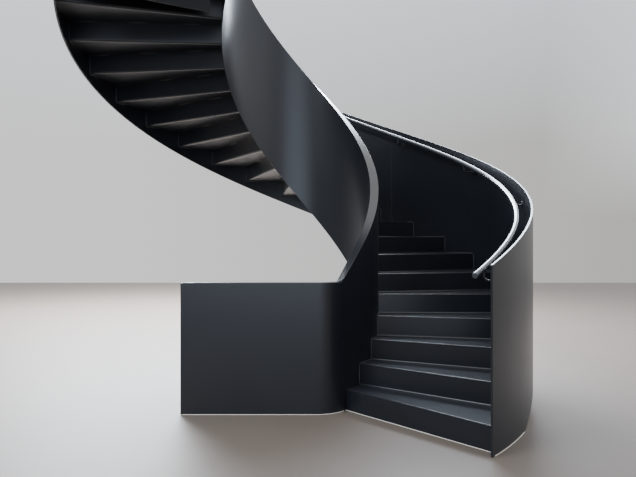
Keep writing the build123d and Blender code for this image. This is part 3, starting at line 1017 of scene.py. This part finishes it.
sealant = Finish(bpy.data.materials.new("pale_sealant"), "Principled BSDF")
smears = sealant.noise(sealant.place(), **SMEARS)
sealant.feed(sealant.shader, "Base Color", sealant.mixed(smears, SEALANT_DARK, SEALANT_LIGHT))
sealant.feed(sealant.shader, "Roughness", (smears * SMEAR_ROUGHNESS + SEALANT_ROUGHNESS).clamped())
sealant.feed(sealant.shader, "Normal", sealant.bump(smears, SMEAR_RELIEF))
parapet_foot = Vector((bend_start_x - PARAPET_LENGTH, -PARAPET_SETBACK - SEALANT_OUT, 0))
bend_foot = [
    bend_centre + polar(BEND_RADIUS + SEALANT_OUT, -90 + BEND_TURN * index / BEND_FOOT_PARTS)
    for index in range(BEND_FOOT_PARTS + 1)
]
riser_inner, _ = riser_ends(1)
riser_outer = on_outer_guard(outer_foot(1), 0, 0)
riser_onward = UP.cross((riser_outer - riser_inner).normalized())
riser_front = riser_onward * -SEALANT_OUT
bend_foot = [point for point in bend_foot if (point - riser_inner).dot(riser_onward) < -SEALANT]
bm = bmesh.new()
path = points_between(parapet_foot, bend_foot[0], SEALANT_SPACING)[:-1] + bend_foot
path += points_between(bend_foot[-1], riser_inner + riser_front, SEALANT_SPACING)[1:-1]
sealant_line(bm, path)
sealant_line(bm, points_between(riser_inner + riser_front, riser_outer + riser_front, SEALANT_SPACING))
first_turn = OPENING_START + SEALANT_START
last_turn = OPENING_START + (OUTER_DEPTH - guard_top) / opening_arc.climb_per_degree
foot_radius = OPENING_RADIUS + outside + SEALANT_OUT
sealant_line(bm, [
    opening_arc.point(foot_radius, first_turn + (last_turn - first_turn) * index / GUARD_FOOT_PARTS)
    for index in range(GUARD_FOOT_PARTS + 1)
])
make_piece("floor_sealant", bm, None, finish=sealant.owner)

# %% [markdown]
# The floor is a plain pale matt sheet.

# %% Floor
FLOOR_HALF = 14.0
FLOOR_DARK, FLOOR_LIGHT = (0.078, 0.062, 0.051, 1), (0.091, 0.073, 0.060, 1)
FLOOR_ROUGHNESS = 0.55
FLOOR_CLOUDS = 2.0
floor_mesh = bpy.data.meshes.new("floor")
bm = bmesh.new()
bmesh.ops.create_grid(bm, x_segments=1, y_segments=1, size=FLOOR_HALF)
bm.to_mesh(floor_mesh)
bm.free()
floor = bpy.data.objects.new("floor", floor_mesh)
bpy.context.scene.collection.objects.link(floor)
floor_finish = Finish(bpy.data.materials.new("pale_floor"), "Principled BSDF")
floor_clouds = floor_finish.noise(floor_finish.place(), FLOOR_CLOUDS)
floor_tone = floor_finish.mixed(floor_clouds, FLOOR_DARK, FLOOR_LIGHT)
floor_finish.feed(floor_finish.shader, "Base Color", floor_tone)
floor_finish.feed(floor_finish.shader, "Roughness", FLOOR_ROUGHNESS)
floor_mesh.materials.append(floor_finish.owner)
print("floor", 2 * FLOOR_HALF, "m wide")

# %% [markdown]
# The light is soft. One large panel shines from behind and above, a smaller one from the front left, and a
# third lights the floor behind the stair, which the undersides of the flight mirror.

# %% Panels of light
STAIR_MIDDLE = AXIS + Vector((0, 0, 1.8))
BEHIND_STAIR = AXIS + Vector((1.0, 6.0, 7.0))
FRONT_LEFT = AXIS + Vector((-5.0, -4.0, 7.4))
OVER_FLOOR = AXIS + Vector((-2.2, 5.6, 4.6))


def panel_light(name, place, target, width, height, power, colour):
    """A large soft light that faces a target, with its size in metres and its power in watts."""
    data = bpy.data.lights.new(name, "AREA")
    data.shape = "RECTANGLE"
    data.size = width
    data.size_y = height
    data.energy = power
    data.color = colour
    light = bpy.data.objects.new(name, data)
    light.location = place
    light.rotation_euler = (Vector(target) - Vector(place)).to_track_quat("-Z", "Y").to_euler()
    bpy.context.scene.collection.objects.link(light)


panel_light("back_panel", BEHIND_STAIR, STAIR_MIDDLE, 7.0, 3.4, 2500, (0.78, 0.88, 1.0))
panel_light("left_panel", FRONT_LEFT, STAIR_MIDDLE, 4.0, 3.0, 900, (0.78, 0.89, 1.0))
panel_light("back_floor_panel", OVER_FLOOR, OVER_FLOOR - UP, 7.0, 3.0, 6500, (0.86, 0.93, 1.0))
print("lights", len(bpy.data.lights))

# %% [markdown]
# The surroundings are bright at the front horizon, at the right and overhead and dim at the left, so the
# satin sheets shade from light to dark as they turn. Each layer fades in over a range of the direction's
# side, depth or height, and lies over the ones before it.

# %% Surroundings
LEFT_TONE = (0.30, 0.31, 0.34, 1)
RIGHT_TONE = (0.28, 0.26, 0.24, 1)
RIGHT_PANEL_TONE = (1.75, 1.80, 1.90, 1)
BACK_LEFT_TONE = (0.95, 0.95, 0.95, 1)
BACK_RIGHT_TONE = (0.55, 0.54, 0.52, 1)
FRONT_TONE = (2.70, 3.05, 3.60, 1)
UPPER_TONE = (1.18, 1.28, 1.42, 1)
ZENITH_TONE = (3.00, 2.95, 2.90, 1)
SIDE_FADE = (-0.9, 0.6)
BACK_FADE = (-0.1, 0.5)
BACK_SIDE_FADE = (-0.3, 0.5)
FRONT_FADE = (0.88, 0.985)
FRONT_LEAN = 0.05
PANEL_SIDE_FADE = (0.35, 0.80)
PANEL_HEIGHT_FADE = (0.03, 0.16)
UPPER_FADE = (0.15, 0.55)
ZENITH_FADE = (0.55, 0.97)
world = bpy.data.worlds.new("soft_surroundings")
bpy.context.scene.world = world
sky = Finish(world, "Background")
side, depth, height = sky.parts(sky.node("ShaderNodeTexCoord").outputs["Generated"])
right_panel = sky.ramp(side, *PANEL_SIDE_FADE) * sky.ramp(height, *PANEL_HEIGHT_FADE)
back_tone = sky.mixed(sky.ramp(side, *BACK_SIDE_FADE), BACK_LEFT_TONE, BACK_RIGHT_TONE)
tone = sky.mixed(sky.ramp(side, *SIDE_FADE), LEFT_TONE, RIGHT_TONE)
tone = sky.mixed(sky.ramp(depth, *BACK_FADE), tone, back_tone)
tone = sky.mixed(sky.ramp(side * FRONT_LEAN - depth, *FRONT_FADE), tone, FRONT_TONE)
tone = sky.mixed(right_panel, tone, RIGHT_PANEL_TONE)
tone = sky.mixed(sky.ramp(height, *UPPER_FADE), tone, UPPER_TONE)
tone = sky.mixed(sky.ramp(height, *ZENITH_FADE), tone, ZENITH_TONE)
sky.feed(sky.shader, "Color", tone)
sky.feed(sky.shader, "Strength", 1.0)
print("surroundings", world.name)
